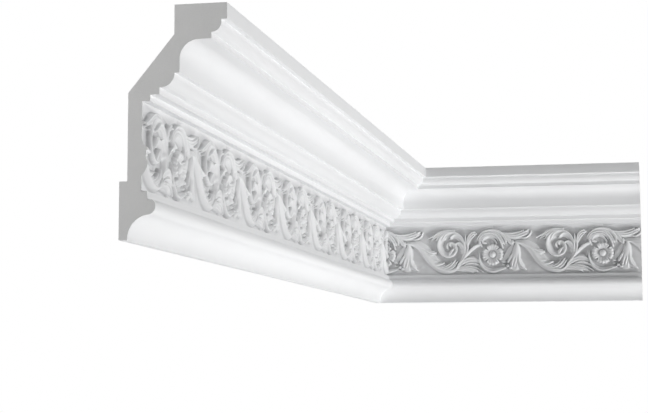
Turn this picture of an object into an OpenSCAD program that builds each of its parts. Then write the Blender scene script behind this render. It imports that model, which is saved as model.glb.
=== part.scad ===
// Cornice moulding turned through the inner corner of a room: two cast lengths mitred together.
// X runs along the short length, -Y along the long one, Z is up. The origin is the corner where
// both walls meet the moulding's lower edge. Each cross-section is drawn as [off the wall, up].

/* [Lengths] */
// Long length, from the corner to its square end
long_run = 1122; // [600:1:1800]
// Short length, from the corner to its square end
short_run = 378; // [200:1:1800]

/* [Lower mouldings] */
// How far the foot stands off the wall
foot_step = 7; // [4:0.5:12]
// Height of the ogee, from the foot to the fillet above it
ogee_h = 31.5; // [26:0.5:45]
// Radius of the ogee's lower hollow
hollow_r = 19; // [14:0.5:25]
// Radius of the ogee's upper roll
roll_r = 6.5; // [5:0.25:9]
// How far the roll's axis lies below the fillet
roll_drop = 5.3; // [3:0.1:7]
// How far the roll stands off the wall
roll_step = 29.5; // [26:0.5:38]
// Height of the fillet under the frieze
low_fillet_h = 6.5; // [3:0.5:12]
// How far that fillet stands proud of the frieze
low_fillet_step = 5; // [2:0.5:8]

/* [Frieze] */
// Height of the frieze
frieze_h = 70.5; // [50:0.5:100]
// How far the frieze face stands off the wall
frieze_step = 18; // [14:0.5:24]
// Length of one repeat of the ornament
repeat = 153.8; // [120:0.1:200]
// Highest carving, measured off the frieze face
relief = 6; // [3:0.25:8]
// First flower on the long length, from its square end
long_first = 89; // [0:1:153]
// First whole flower on the short length, from the corner
short_first = 171; // [60:1:213]

/* [Upper mouldings] */
// Height of the lower fillet over the frieze
fillet_a_h = 5; // [2:0.5:10]
// Its step out from the frieze
fillet_a_step = 6.5; // [3:0.5:10]
// Height of the second fillet
fillet_b_h = 5.5; // [2:0.5:10]
// Its step out from the first
fillet_b_step = 7.5; // [3:0.5:12]
// Radius of the lower quarter round
ovolo_r = 11; // [6:0.5:16]
// Small step under the quarter round
ovolo_step = 1; // [0.5:0.5:3]
// Height of the flat band over the quarter round
band_h = 10.5; // [4:0.5:20]
// Its step out from the quarter round
band_step = 4; // [1:0.5:8]
// Radius of the cove
cove_r = 15.5; // [8:0.5:24]
// Height of the fillet over the cove
corona_h = 5; // [2:0.5:10]
// Its step out from the cove
corona_step = 10; // [4:0.5:16]
// Radius of the upper quarter round
top_round_r = 8; // [4:0.5:14]
// Flat riser over the upper quarter round
riser_h = 2; // [1:0.5:6]
// Height of the top fascia
fascia_h = 13; // [6:0.5:24]
// Its step out from the upper quarter round
fascia_step = 4.5; // [1:0.5:8]

/* [Back] */
// Height of the strip that is glued to the wall
wall_land = 46; // [24:0.5:56]
// Depth of the relief above that strip
rebate = 6.5; // [3:0.5:10]
// Where the sloped back starts, above the frieze's top edge
slope_start = 7; // [0:0.5:16]
// Width of the strip that is glued to the ceiling
ceiling_land = 42.5; // [24:0.5:56]
// Height of the square step behind that strip
ceiling_step = 23.5; // [12:0.5:32]

/* [Hidden] */
$fn = 96;

// Heights of the members' lower edges
frieze_z = ogee_h + low_fillet_h;
fillet_a_z = frieze_z + frieze_h;
fillet_b_z = fillet_a_z + fillet_a_h;
ovolo_z = fillet_b_z + fillet_b_h;
band_z = ovolo_z + ovolo_r;
cove_z = band_z + band_h;
corona_z = cove_z + cove_r;
top_round_z = corona_z + corona_h;
fascia_z = top_round_z + top_round_r + riser_h;
height = fascia_z + fascia_h;

// How far the members' faces stand off the wall
low_fillet_p = frieze_step + low_fillet_step;
fillet_a_p = frieze_step + fillet_a_step;
fillet_b_p = fillet_a_p + fillet_b_step;
ovolo_p = fillet_b_p + ovolo_step;
band_p = ovolo_p + ovolo_r + band_step;
cove_p = band_p + cove_r;
corona_p = cove_p + corona_step;
top_round_p = corona_p + top_round_r;
projection = top_round_p + fascia_step;
ceiling_back = projection - ceiling_land;

// The ogee's two arcs touch at one point, so the curve turns over smoothly
roll_axis = [roll_step - roll_r, ogee_h - roll_drop];
hollow_p = foot_step + hollow_r;
arcs = roll_r + hollow_r;
hollow_axis = [hollow_p, roll_axis[1] - sqrt(arcs ^ 2 - (hollow_p - roll_axis[0]) ^ 2)];
turn_over = hollow_axis + (roll_axis - hollow_axis) * hollow_r / arcs;

// The ornament is drawn for a cell of this size and stretched to the frieze's own
cell = [153.8, 70.5];
// The carved panel reaches this far behind the frieze face
bed = 4;
// Larger than the moulding, for the cutters
far = 4 * (projection + height);

// ---- the cross-section ----

module ogee() {
    difference() {
        polygon([[0, 0], [hollow_p, 0], turn_over, roll_axis, [roll_axis[0], ogee_h], [0, ogee_h]]);
        translate(hollow_axis) circle(hollow_r);
    }
    intersection() {
        translate(roll_axis) circle(roll_r);
        square([roll_step, ogee_h]);
    }
}

module steps() {
    polygon([
        [0, ogee_h],
        [low_fillet_p, ogee_h], [low_fillet_p, frieze_z],
        [frieze_step - bed, frieze_z], [frieze_step - bed, fillet_a_z],
        [fillet_a_p, fillet_a_z], [fillet_a_p, fillet_b_z],
        [fillet_b_p, fillet_b_z], [fillet_b_p, ovolo_z],
        [ovolo_p, ovolo_z], [ovolo_p, band_z],
        [band_p, band_z], [band_p, cove_z],
        [cove_p, corona_z],
        [corona_p, corona_z], [corona_p, top_round_z + top_round_r],
        [top_round_p, top_round_z + top_round_r], [top_round_p, fascia_z],
        [projection, fascia_z], [projection, height],
        [0, height]
    ]);
}

module cove() {
    translate([cove_p, cove_z]) circle(cove_r);
}

module quarter_rounds() {
    translate([ovolo_p, band_z]) circle(ovolo_r);
    translate([corona_p, top_round_z + top_round_r]) circle(top_round_r);
}

// Relief above the wall strip, then the slope that leaves room for cables
module back_space() {
    polygon([
        [-1, wall_land], [rebate, wall_land],
        [rebate, fillet_a_z + slope_start],
        [ceiling_back, height - ceiling_step],
        [ceiling_back, height + 1], [-1, height + 1]
    ]);
}

module section() {
    difference() {
        union() {
            ogee();
            steps();
            quarter_rounds();
        }
        cove();
        back_space();
    }
}

// ---- the ornament, drawn flat: x along the run, y up the frieze, z off its face ----

function bezier(p, t) =
    (1 - t) ^ 3 * p[0] + 3 * (1 - t) ^ 2 * t * p[1] + 3 * (1 - t) * t ^ 2 * p[2] + t ^ 3 * p[3];

// A value that runs from a[0] towards a[1] and ends at a[2]
function swell(a, t) = (1 - t) ^ 2 * a[0] + 2 * t * (1 - t) * a[1] + t ^ 2 * a[2];

function unit(v) = v / norm(v);

function across(path, i) =
    let (d = unit(path[min(i + 1, len(path) - 1)] - path[max(i - 1, 0)])) [-d[1], d[0]];

// A ridge with a sharp crest along a path, wide as the half widths say. It is lower at its ends.
end_crest = 0.8;
module ridge(path, widths, crest) {
    n = len(path);
    rings = [for (i = [0 : n - 1])
        let (
            t = i / (n - 1),
            side = across(path, i) * swell(widths, t),
            top = crest * relief * (end_crest + (1 - end_crest) * sin(180 * t))
        )
        each [
            [path[i][0] - side[0], path[i][1] - side[1], 0],
            [path[i][0] + side[0], path[i][1] + side[1], 0],
            [path[i][0], path[i][1], top]
        ]
    ];
    walls = [for (i = [0 : n - 2], k = [0 : 2])
        let (a = 3 * i + k, b = 3 * i + (k + 1) % 3)
        each [[a, b + 3, b], [a, a + 3, b + 3]]
    ];
    polyhedron(rings, concat([[0, 1, 2]], walls, [[3 * n - 1, 3 * n - 2, 3 * n - 3]]), convexity = 4);
}

// A leaf, stem or finger: a ridge along one curve
module stroke(p, widths, crest = 0.8, n = 4) {
    ridge([for (i = [0 : n]) bezier(p, i / n)], widths, crest);
}

// The scroll winds in to its eye as a spiral that tightens evenly
scroll_eye = [-60.5, 39.5];
scroll_r = 22;
scroll_turn = 540;
scroll_tighten = 0.0033;
function scroll_radius(a) = scroll_r * exp(-scroll_tighten * max(0, a - 90));

module scroll(n = 15) {
    path = [for (i = [0 : n])
        let (a = scroll_turn * i / n) scroll_eye + scroll_radius(a) * [cos(a), sin(a)]];
    ridge(path, [2.6, 3, 1.2], 0.9);
}

// Four broad petals round a boss, with a gap between each two
petal_r = 15.5;
boss_r = 4.5;
petal_gap = 2.5;
module flower(n = 12) {
    radii = [0, boss_r, boss_r + 1.5, petal_r - 2, petal_r];
    tops = [1.15, 0.9, 0.3, 0.85, 0];
    rings = [for (j = [1 : 4], i = [0 : n - 1])
        let (
            a = 360 * (i + 0.5) / n,
            notch = j > 2 && i % 3 == 1 ? petal_gap : 0,
            r = radii[j] - notch
        )
        [r * cos(a), r * sin(a), relief * tops[j]]
    ];
    middle = len(rings);
    bands = [for (j = [0 : 2], i = [0 : n - 1])
        let (a = j * n + i, b = j * n + (i + 1) % n)
        each [[a, b + n, a + n], [a, b, b + n]]
    ];
    lid = [for (i = [0 : n - 1]) [middle, (i + 1) % n, i]];
    polyhedron(
        concat(rings, [[0, 0, relief * tops[0]]]),
        concat(bands, lid, [[for (i = [0 : n - 1]) 3 * n + i]])
    );
}

module trunk() {
    stroke([[-125, 44.5], [-112, 47], [-104, 41], [-96, 30.5]], [2, 3.5, 4.5], 0.85, 3);
    stroke([[-96, 30.5], [-88, 20], [-78, 6], [-60, 6]], [4.5, 4, 3], 0.85, 4);
    stroke([[-60, 6], [-54, 6], [-50, 9], [-46, 15]], [3, 3, 1.8], 0.8, 2);
    stroke([[-98, 35], [-93, 33], [-88, 31], [-80, 32]], [3, 2.6, 1.6], 0.75, 2);
    stroke([[-87, 17], [-81, 14], [-75, 14], [-68, 18]], [2.4, 2.8, 0.8], 0.7, 2);
    stroke([[-69, 7], [-60, 9], [-56, 13], [-52, 21]], [2.2, 3.4, 1], 0.75, 2);
}

module scroll_leaves() {
    stroke([[-46, 15], [-40, 20], [-37.5, 30], [-38.5, 39.5]], [1.8, 2.2, 2.6], 0.85, 3);
    stroke([[-64, 61], [-73, 64], [-80, 56], [-92, 52.5]], [2.5, 5, 0.4], 0.7, 3);
    stroke([[-41, 44], [-42, 55], [-52, 62], [-59, 54]], [2, 3, 1], 0.8, 3);
    stroke([[-40, 35], [-41, 43], [-47, 48], [-52, 45]], [2, 2.6, 0.8], 0.75, 2);
}

module spray() {
    stroke([[-46, 17], [-38, 24], [-33.5, 32], [-35.5, 47]], [1.4, 1.8, 1.6], 0.75, 3);
    stroke([[-35.5, 45], [-38, 49], [-38.5, 52], [-38, 56.5]], [1.4, 1.8, 0.3], 0.65, 1);
    stroke([[-35.5, 45], [-35, 54], [-30, 60], [-22.5, 59]], [1.4, 3, 1], 0.75, 3);
    stroke([[-36, 26], [-33, 34], [-26, 40], [-16.5, 43.5]], [1, 1.6, 1.4], 0.7, 2);
}

module low_leaves() {
    stroke([[-47, 14], [-38, 24], [-28, 26], [-18, 18]], [1, 4, 1.4], 0.55, 3);
    stroke([[-52, 8.5], [-42, 13], [-34, 10], [-27, 3]], [2.5, 3, 0.4], 0.65, 3);
}

module vine() {
    stroke([[-19.5, 31], [-21, 14], [-12, 3.8], [0, 4]], [0.8, 2.2, 2.2], 0.75, 3);
    stroke([[0, 4], [6, 4.2], [12, 7], [18.5, 9]], [2.2, 1.8, 1.2], 0.75, 2);
}

module arch() {
    stroke([[-21, 49], [-16, 68], [18, 70], [20, 45.5]], [1.2, 3, 1.2], 0.85, 5);
    stroke([[-18, 46], [-14, 61], [8, 64], [14, 38]], [1.2, 2.8, 1], 0.75, 4);
    stroke([[12, 59], [22, 53], [36, 59], [50, 61.5]], [2, 2.6, 1.6], 0.8, 4);
    stroke([[22, 54], [30, 50], [38, 51], [54, 60]], [1, 3.2, 0.8], 0.7, 3);
}

module bell() {
    stroke([[21, 55], [24, 49], [26, 46], [30, 42]], [1.6, 2, 2.4], 0.75, 1);
    stroke([[32, 42], [29, 32], [24, 25], [21.5, 16]], [1.6, 3, 2.2], 0.75, 2);
    stroke([[33.5, 42], [32, 32], [30, 22], [29, 11]], [1.6, 3, 2.4], 0.9, 2);
    stroke([[35, 42], [38, 28], [35, 12], [47, 7]], [1.6, 3, 0.8], 0.75, 3);
}

module motif() {
    trunk();
    scroll();
    scroll_leaves();
    spray();
    low_leaves();
    vine();
    arch();
    bell();
    translate([0, 28.5, 0]) flower();
}

// Copies of the motif along a run of some length, with a flower at first. A motif reaches back
// from its flower by this share of a repeat, so one whose flower is past the end still shows.
reach_back = 0.85;
module repeats(length, first) {
    last = (length - first) / repeat + reach_back;
    for (k = [-1 : last])
        translate([first + k * repeat, 0, 0])
            scale([repeat / cell[0], frieze_h / cell[1], 1])
                motif();
}

// The carved panel of one length: its bed and every copy that the panel holds
module panel(length, first) {
    translate([0, 0, -bed]) cube([length, frieze_h, bed]);
    intersection() {
        repeats(length, first);
        translate([0, 0, -bed]) cube([length, frieze_h, bed + 2 * relief]);
    }
}

// ---- the two lengths ----

// Everything beyond the mitre: side 1 is the short length's half of the corner, -1 the long one's
module past_mitre(side) {
    rotate([0, 0, 45])
        translate([side > 0 ? 0 : -far, -far, -1])
            cube([far, 2 * far, height + 2]);
}

module long_length() {
    color("white") {
        difference() {
            rotate([90, 0, 0]) linear_extrude(long_run) section();
            past_mitre(1);
        }
        resize([0, 0, 0]) difference() {
            translate([frieze_step, -long_run, frieze_z])
                rotate([90, 0, 90])
                    panel(long_run, long_first);
            past_mitre(1);
        }
    }
}

module short_length() {
    color("white") {
        difference() {
            rotate([0, 0, -90]) rotate([90, 0, 0])
                translate([0, 0, -short_run]) linear_extrude(short_run) section();
            past_mitre(-1);
        }
        resize([0, 0, 0]) difference() {
            translate([0, -frieze_step, frieze_z])
                rotate([90, 0, 0])
                    panel(short_run, short_first);
            past_mitre(-1);
        }
    }
}

long_length();
short_length();
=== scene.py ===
import math

import bmesh
import bpy
import numpy as np
from bpy.props import FloatProperty, FloatVectorProperty, IntProperty, PointerProperty
from mathutils import Matrix, Vector


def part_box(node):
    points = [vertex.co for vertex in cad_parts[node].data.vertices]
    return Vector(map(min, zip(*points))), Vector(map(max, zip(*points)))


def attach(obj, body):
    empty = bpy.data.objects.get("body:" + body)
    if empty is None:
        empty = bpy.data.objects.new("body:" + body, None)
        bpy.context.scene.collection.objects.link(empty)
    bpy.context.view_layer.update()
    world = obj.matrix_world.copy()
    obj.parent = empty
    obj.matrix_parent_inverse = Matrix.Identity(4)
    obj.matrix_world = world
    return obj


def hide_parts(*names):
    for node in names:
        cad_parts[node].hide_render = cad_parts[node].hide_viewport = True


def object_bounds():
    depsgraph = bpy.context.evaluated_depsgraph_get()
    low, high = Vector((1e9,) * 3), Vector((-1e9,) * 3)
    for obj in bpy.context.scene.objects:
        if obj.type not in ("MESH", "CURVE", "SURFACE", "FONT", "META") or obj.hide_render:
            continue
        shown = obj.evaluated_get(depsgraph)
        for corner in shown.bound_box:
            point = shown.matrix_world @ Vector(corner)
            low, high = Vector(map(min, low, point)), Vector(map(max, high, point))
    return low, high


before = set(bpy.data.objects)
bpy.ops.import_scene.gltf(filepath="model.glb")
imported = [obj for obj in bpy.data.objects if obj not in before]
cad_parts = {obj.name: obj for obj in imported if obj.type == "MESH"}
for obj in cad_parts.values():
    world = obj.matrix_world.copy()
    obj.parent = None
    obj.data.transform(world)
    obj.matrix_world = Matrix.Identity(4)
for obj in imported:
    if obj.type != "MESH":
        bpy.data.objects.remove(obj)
CAD_BOX = [list(corner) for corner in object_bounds()]

bl_info = {
    "name": "Carved Cornice",
    "version": (1, 0, 0),
    "blender": (4, 5, 0),
    "location": "3D View > Sidebar > Cornice",
    "description": "Builds a moulded cornice with a scrolling leaf frieze, mitred at a room's inner corner",
    "category": "Add Mesh",
}

MM = 0.001
LONG_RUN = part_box("long_length")[1][1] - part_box("long_length")[0][1]
SHORT_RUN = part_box("short_length")[1][0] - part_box("short_length")[0][0]
HEIGHT = CAD_BOX[1][2] - CAD_BOX[0][2]
CUT_REACH = 0.1        # how far off the wall the end cuts reach, past the moulding's face
MARGIN = 0.02          # how far a sweep runs past its ends before they are cut
BED = 1.0 * MM         # depth of the bed that the carved repeats sit in
TUCK = 0.8 * MM        # how far a carved repeat reaches into the run around it
WELD = 0.01 * MM       # points nearer than this become one
PARALLEL = 0.999       # cosine past which two normals count as parallel
SHARP_TURN = math.radians(25)      # corners of the section that turn further than this are eased
EASE_SHARE = 0.45                  # the most of a side that an eased corner may take
EASE_STEPS = (0, 0.28, 0.5, 0.72, 1)   # where the points of an eased corner lie along its curve
RUN_CREASE = math.radians(12)      # edges of the run that turn further than this look crisp
CARVED_CREASE = math.radians(60)   # the same for edges of the carving
KEPT_COLUMNS = 3       # columns of points at each end of a repeat that thinning leaves alone
KEPT_WEIGHT = 1000     # how strongly it leaves them alone

FLOOR_HALF = 4.0       # half the floor's side
ROOM_LIGHT = 0.08      # strength of the light that the room gives
ROOM_SEEN = 1.0        # how bright the room looks behind the moulding
CAMERA_PLACE = (0.41836, -2.31801, -0.10411)
CAMERA_TURN = (95.930, 0, 12.063)  # in degrees
MIDDLE = (0.1, -0.5, 0.09)         # the point that most lamps face

# Square lamps: name, place, the point it faces, side in metres and power in watts
LAMPS = (
    ("low_right", (2.9, -0.85, -0.6), MIDDLE, 0.5, 51),
    ("under", (0.25, -0.5, -1.1), (0.1, -0.35, 0.09), 1.2, 7.3),
    ("end", (-0.35, -1.9, 0.25), (0.04, -1.12, 0.09), 0.5, 3.9),
    ("top", (0.2, 0.3, 2.6), MIDDLE, 2.0, 34),
    ("left_back", (-2.4, 1.2, 1.0), MIDDLE, 1.6, 54),
)


def size(name, description, default_mm):
    return FloatProperty(name=name, description=description, default=default_mm * MM, unit="LENGTH",
                         precision=5)


def colour(name, description, default):
    return FloatVectorProperty(name=name, description=description, default=default, subtype="COLOR")


class SectionSizes(bpy.types.PropertyGroup):
    """Heights and steps of the members of the cross-section, from the foot up"""
    foot_step: size("Foot Step", "How far the foot stands off the wall", 7)
    ogee_h: size("Ogee Height", "From the foot to the fillet above the ogee", 31.5)
    hollow_r: size("Hollow Radius", "Radius of the ogee's lower hollow", 19)
    roll_r: size("Roll Radius", "Radius of the ogee's upper roll", 6.5)
    roll_drop: size("Roll Drop", "How far the roll's axis lies below the fillet", 5.3)
    roll_step: size("Roll Step", "How far the roll stands off the wall", 29.5)
    low_fillet_h: size("Low Fillet Height", "Height of the fillet under the frieze", 6.5)
    low_fillet_step: size("Low Fillet Step", "How far it stands proud of the frieze", 5)
    frieze_h: size("Frieze Height", "Height of the frieze", 70.5)
    frieze_step: size("Frieze Step", "How far the frieze face stands off the wall", 18)
    fillet_a_h: size("First Fillet Height", "Height of the lower fillet over the frieze", 5)
    fillet_a_step: size("First Fillet Step", "Its step out from the frieze", 6.5)
    fillet_b_h: size("Second Fillet Height", "Height of the second fillet", 5.5)
    fillet_b_step: size("Second Fillet Step", "Its step out from the first", 7.5)
    ovolo_r: size("Quarter Round Radius", "Radius of the lower quarter round", 11)
    ovolo_step: size("Quarter Round Step", "Small step under the quarter round", 1)
    band_h: size("Band Height", "Height of the flat band over the quarter round", 10.5)
    band_step: size("Band Step", "Its step out from the quarter round", 4)
    cove_r: size("Cove Radius", "Radius of the cove", 15.5)
    corona_h: size("Corona Height", "Height of the fillet over the cove", 5)
    corona_step: size("Corona Step", "Its step out from the cove", 10)
    top_round_r: size("Top Round Radius", "Radius of the upper quarter round", 8)
    riser_h: size("Riser Height", "Flat riser over the upper quarter round", 2)
    fascia_h: size("Fascia Height", "Height of the top fascia", 13)
    fascia_step: size("Fascia Step", "Its step out from the upper quarter round", 4.5)
    wall_land: size("Wall Land", "Height of the strip that is glued to the wall", 46)
    rebate: size("Rebate", "Depth of the relief above that strip", 6.5)
    slope_start: size("Slope Start", "Where the sloped back starts above the frieze", 7)
    ceiling_land: size("Ceiling Land", "Width of the strip that is glued to the ceiling", 42.5)
    ceiling_step: size("Ceiling Step", "Height of the square step behind that strip", 23.5)
    edge: size("Edge Radius", "How far the cast arrises are eased", 0.5)


class FriezeSizes(bpy.types.PropertyGroup):
    """The carved frieze and where its flowers stand"""
    repeat: size("Repeat", "Length of one repeat of the ornament", 153.8)
    relief: size("Relief", "Highest carving, measured off the frieze face", 6)
    long_first: size("Long Length First Flower", "From the long length's square end", 89)
    short_first: size("Short Length First Flower", "From the corner", 171)
    pitch: size("Carving Pitch", "Spacing of the points that the carving is worked out on", 0.4)
    faces: IntProperty(name="Faces a Repeat", description="Triangles kept in one repeat", default=23500)


class FinishColours(bpy.types.PropertyGroup):
    """Colours of the factory primer, of the painted shade in the carving's hollows, and of the foam that the
    saw shows
    """
    primer: colour("Primer", "White primer on the moulded face", (0.855, 0.86, 0.867))
    # Painted shade: the primer darkened in the carving's hollows, where shade falls
    hollow: colour("Hollows", "The same primer deep in the carving", (0.42, 0.422, 0.43))
    foam: colour("Cut Foam", "Bare foam on a sawn end", (0.86, 0.86, 0.855))


class StageSizes(bpy.types.PropertyGroup):
    """Camera and floor"""
    floor_drop: FloatProperty(name="Floor Drop", description="How far the floor lies under the moulding",
                              default=2.5, unit="LENGTH")
    lens: FloatProperty(name="Lens", description="Focal length in millimetres", default=90.47)


# ---- the cross-section ----

def arc(centre, radius, start, end, steps):
    """Points on a circle from one angle to another, in degrees"""
    angles = np.radians(np.linspace(start, end, steps + 1))
    return [(centre[0] + radius * math.cos(a), centre[1] + radius * math.sin(a)) for a in angles]


def section_outline(s, bed):
    """The cross-section as (off the wall, up), anticlockwise from the foot, its frieze set back by bed"""
    frieze_z = s.ogee_h + s.low_fillet_h
    fillet_a_z = frieze_z + s.frieze_h
    fillet_b_z = fillet_a_z + s.fillet_a_h
    ovolo_z = fillet_b_z + s.fillet_b_h
    band_z = ovolo_z + s.ovolo_r
    cove_z = band_z + s.band_h
    corona_z = cove_z + s.cove_r
    top_round_z = corona_z + s.corona_h
    riser_z = top_round_z + s.top_round_r
    fascia_z = riser_z + s.riser_h
    height = fascia_z + s.fascia_h

    low_fillet_p = s.frieze_step + s.low_fillet_step
    fillet_a_p = s.frieze_step + s.fillet_a_step
    fillet_b_p = fillet_a_p + s.fillet_b_step
    ovolo_p = fillet_b_p + s.ovolo_step
    band_p = ovolo_p + s.ovolo_r + s.band_step
    cove_p = band_p + s.cove_r
    corona_p = cove_p + s.corona_step
    top_round_p = corona_p + s.top_round_r
    projection = top_round_p + s.fascia_step
    ceiling_back = projection - s.ceiling_land

    roll = (s.roll_step - s.roll_r, s.ogee_h - s.roll_drop)
    hollow_p = s.foot_step + s.hollow_r
    arcs = s.roll_r + s.hollow_r
    hollow = (hollow_p, roll[1] - math.sqrt(arcs ** 2 - (hollow_p - roll[0]) ** 2))
    touch = math.degrees(math.atan2(roll[1] - hollow[1], roll[0] - hollow[0]))
    foot = 180 - math.degrees(math.asin(-hollow[1] / s.hollow_r))
    roll_top = math.degrees(math.asin(s.roll_drop / s.roll_r))

    face = s.frieze_step - bed
    outline = [(0, 0)]
    outline += arc(hollow, s.hollow_r, foot, touch, 22)
    outline += arc(roll, s.roll_r, touch - 180, roll_top, 26)[1:]
    outline += [
        (low_fillet_p, s.ogee_h), (low_fillet_p, frieze_z),
        (face, frieze_z), (face, fillet_a_z),
        (fillet_a_p, fillet_a_z), (fillet_a_p, fillet_b_z),
        (fillet_b_p, fillet_b_z), (fillet_b_p, ovolo_z),
    ]
    outline += [(ovolo_p, ovolo_z)] + arc((ovolo_p, band_z), s.ovolo_r, -90, 0, 20)[1:]
    outline += [(band_p, band_z)]
    outline += arc((cove_p, cove_z), s.cove_r, 180, 90, 24)
    outline += [(corona_p, corona_z), (corona_p, top_round_z)]
    outline += arc((corona_p, riser_z), s.top_round_r, -90, 0, 18)[1:]
    outline += [
        (top_round_p, fascia_z), (projection, fascia_z), (projection, height),
        (ceiling_back, height), (ceiling_back, height - s.ceiling_step),
        (s.rebate, fillet_a_z + s.slope_start), (s.rebate, s.wall_land), (0, s.wall_land),
    ]
    return outline


def eased(outline, radius):
    """The outline with each sharp corner turned on a small radius"""
    count = len(outline)
    result = []
    for i, point in enumerate(outline):
        here = Vector(point)
        before = Vector(outline[i - 1]) - here
        after = Vector(outline[(i + 1) % count]) - here
        turn = math.pi - before.angle(after)
        if turn < SHARP_TURN:
            result.append(point)
            continue
        back = min(radius * math.tan(turn / 2), EASE_SHARE * min(before.length, after.length))
        start, end = here + before.normalized() * back, here + after.normalized() * back
        for t in EASE_STEPS:
            result.append(tuple(start * (1 - t) ** 2 + here * 2 * t * (1 - t) + end * t ** 2))
    return result


# ---- the carving: heights over one repeat of the frieze, in millimetres ----

RIM_SHARE = 0.24       # how much of a rolled form's half width its outer side takes
BACK_SHARE = 0.62      # how much of its half width a leaf's rounded back takes
FILLET = 0.3           # size of the small fillet where two forms meet
BERRY_FILLET = 0.1     # the same round a berry
THIN = 0.02            # a form lower than this gets no fillet
SPARE = 0.6            # spare width round the window that a stroke is worked out in
SOFTENING = 0.36       # how far the finished carving is softened
SOFT_REACH = 2.5       # where the softening's bell curve is cut off, in its own widths
CURVE_STEPS = 24       # straight steps in one cubic curve

# Painted shade: the primer darkens where the carving lies under its own softened shape, for the shade in its
# hollows. Each row is
#  the softening, the depth at which that counts in full, and its weight
PAINTED_SHADE_SCALES = ((0.9, 1.2, 1), (2.6, 2.6, 0.45))


class Carving:
    """Heights on a grid that closes on itself along the run"""

    def __init__(self, length, height, pitch):
        self.columns = int(round(length / pitch))
        self.rows = int(round(height / pitch))
        self.du, self.dv = length / self.columns, height / self.rows
        self.h = np.zeros((self.rows + 1, self.columns))

    def window(self, low, high):
        """Row and column numbers that cover a rectangle, with the places of their points"""
        columns = np.arange(math.floor(low[0] / self.du), math.ceil(high[0] / self.du) + 1)
        first, last = max(0, math.floor(low[1] / self.dv)), min(self.rows, math.ceil(high[1] / self.dv))
        rows = np.arange(first, last + 1)
        u, v = np.meshgrid(columns * self.du, rows * self.dv)
        return np.ix_(rows, columns % self.columns), u, v

    def add(self, cells, z, blend):
        """Keeps the higher surface, with a small fillet where two forms meet"""
        old = self.h[cells]
        if blend > 0:
            mix = np.clip(0.5 + 0.5 * (z - old) / blend, 0, 1)
            joined = old * (1 - mix) + z * mix + blend * mix * (1 - mix) * (np.minimum(z, old) > THIN)
            self.h[cells] = np.where(z <= 0, old, np.maximum(joined, old))
        else:
            self.h[cells] = np.maximum(old, z)

    def stroke(self, path, halves, crests, section, blend=FILLET):
        """A lobe, rib or stem along a path, with its half width and height given at even steps"""
        path = np.asarray(path, float)
        steps = np.linspace(0, 1, len(path))
        width = np.interp(steps, np.linspace(0, 1, len(halves)), halves)
        crest = np.interp(steps, np.linspace(0, 1, len(crests)), crests)
        pad = width.max() + SPARE
        cells, u, v = self.window(path.min(0) - pad, path.max(0) + pad)
        near = np.full(u.shape, np.inf)
        across = np.zeros(u.shape)
        along = np.zeros(u.shape)
        for i in range(len(path) - 1):
            step = path[i + 1] - path[i]
            k = ((u - path[i, 0]) * step[0] + (v - path[i, 1]) * step[1]) / (step @ step)
            k = np.clip(k, 0, 1)
            du, dv = u - (path[i, 0] + k * step[0]), v - (path[i, 1] + k * step[1])
            score = np.hypot(du, dv) / (width[i] * (1 - k) + width[i + 1] * k)
            closer = score < near
            near = np.where(closer, score, near)
            across = np.where(closer, np.sign(step[0] * dv - step[1] * du) * score, across)
            along = np.where(closer, (i + k) / (len(path) - 1), along)
        z = np.interp(along, steps, crest) * section(across, np.minimum(near, 1))
        self.add(cells, np.where(near < 1, z, 0), blend)


# Sections of a stroke: across runs from -1 at its right edge to 1 at its left, and near from 0 at its
# middle to 1 at both edges

def dome(across, near):
    """A round rib"""
    return (1 - near ** 2) ** 0.6


def leaf(across, near):
    """A soft flat sheet that the ribs stand on"""
    return (1 - near ** 3) ** 0.7


def sinking(across):
    """A sheet that sinks away to the left"""
    return 0.3 + 0.7 * (1 - np.clip(across, 0, 1)) ** 1.7


def rolled_left(across, near):
    """A rim along the path, with a sheet that sinks away on its left"""
    rim = np.sqrt(np.clip(1 - (near / RIM_SHARE) ** 2, 0, 1))
    return np.where(across < 0, rim, sinking(across))


def rolled_right(across, near):
    """The same with its sheet on the right"""
    return rolled_left(-across, near)


def strap_left(across, near):
    """A leaf's broad rounded back, rising from its right to a ridge, and its sheet on the left"""
    back = np.cos(0.5 * math.pi * np.clip(near / BACK_SHARE, 0, 1)) ** 0.8
    return np.where(across < 0, back, sinking(across))


def petal(across, near):
    """A smooth tongue with slightly raised edges"""
    return (1 - near ** 4) ** 0.6 * (0.72 + 0.28 * across ** 2)


def curve(points):
    """A smooth path of one or more cubic curves that share their end points"""
    p = np.array(points, float)
    t = np.linspace(0, 1, CURVE_STEPS + 1)[:, None]
    parts = []
    for i in range(0, len(p) - 1, 3):
        a, b, c, d = p[i:i + 4]
        parts.append((1 - t) ** 3 * a + 3 * (1 - t) ** 2 * t * b + 3 * (1 - t) * t ** 2 * c + t ** 3 * d)
    return np.concatenate([parts[0]] + [part[1:] for part in parts[1:]])


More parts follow.
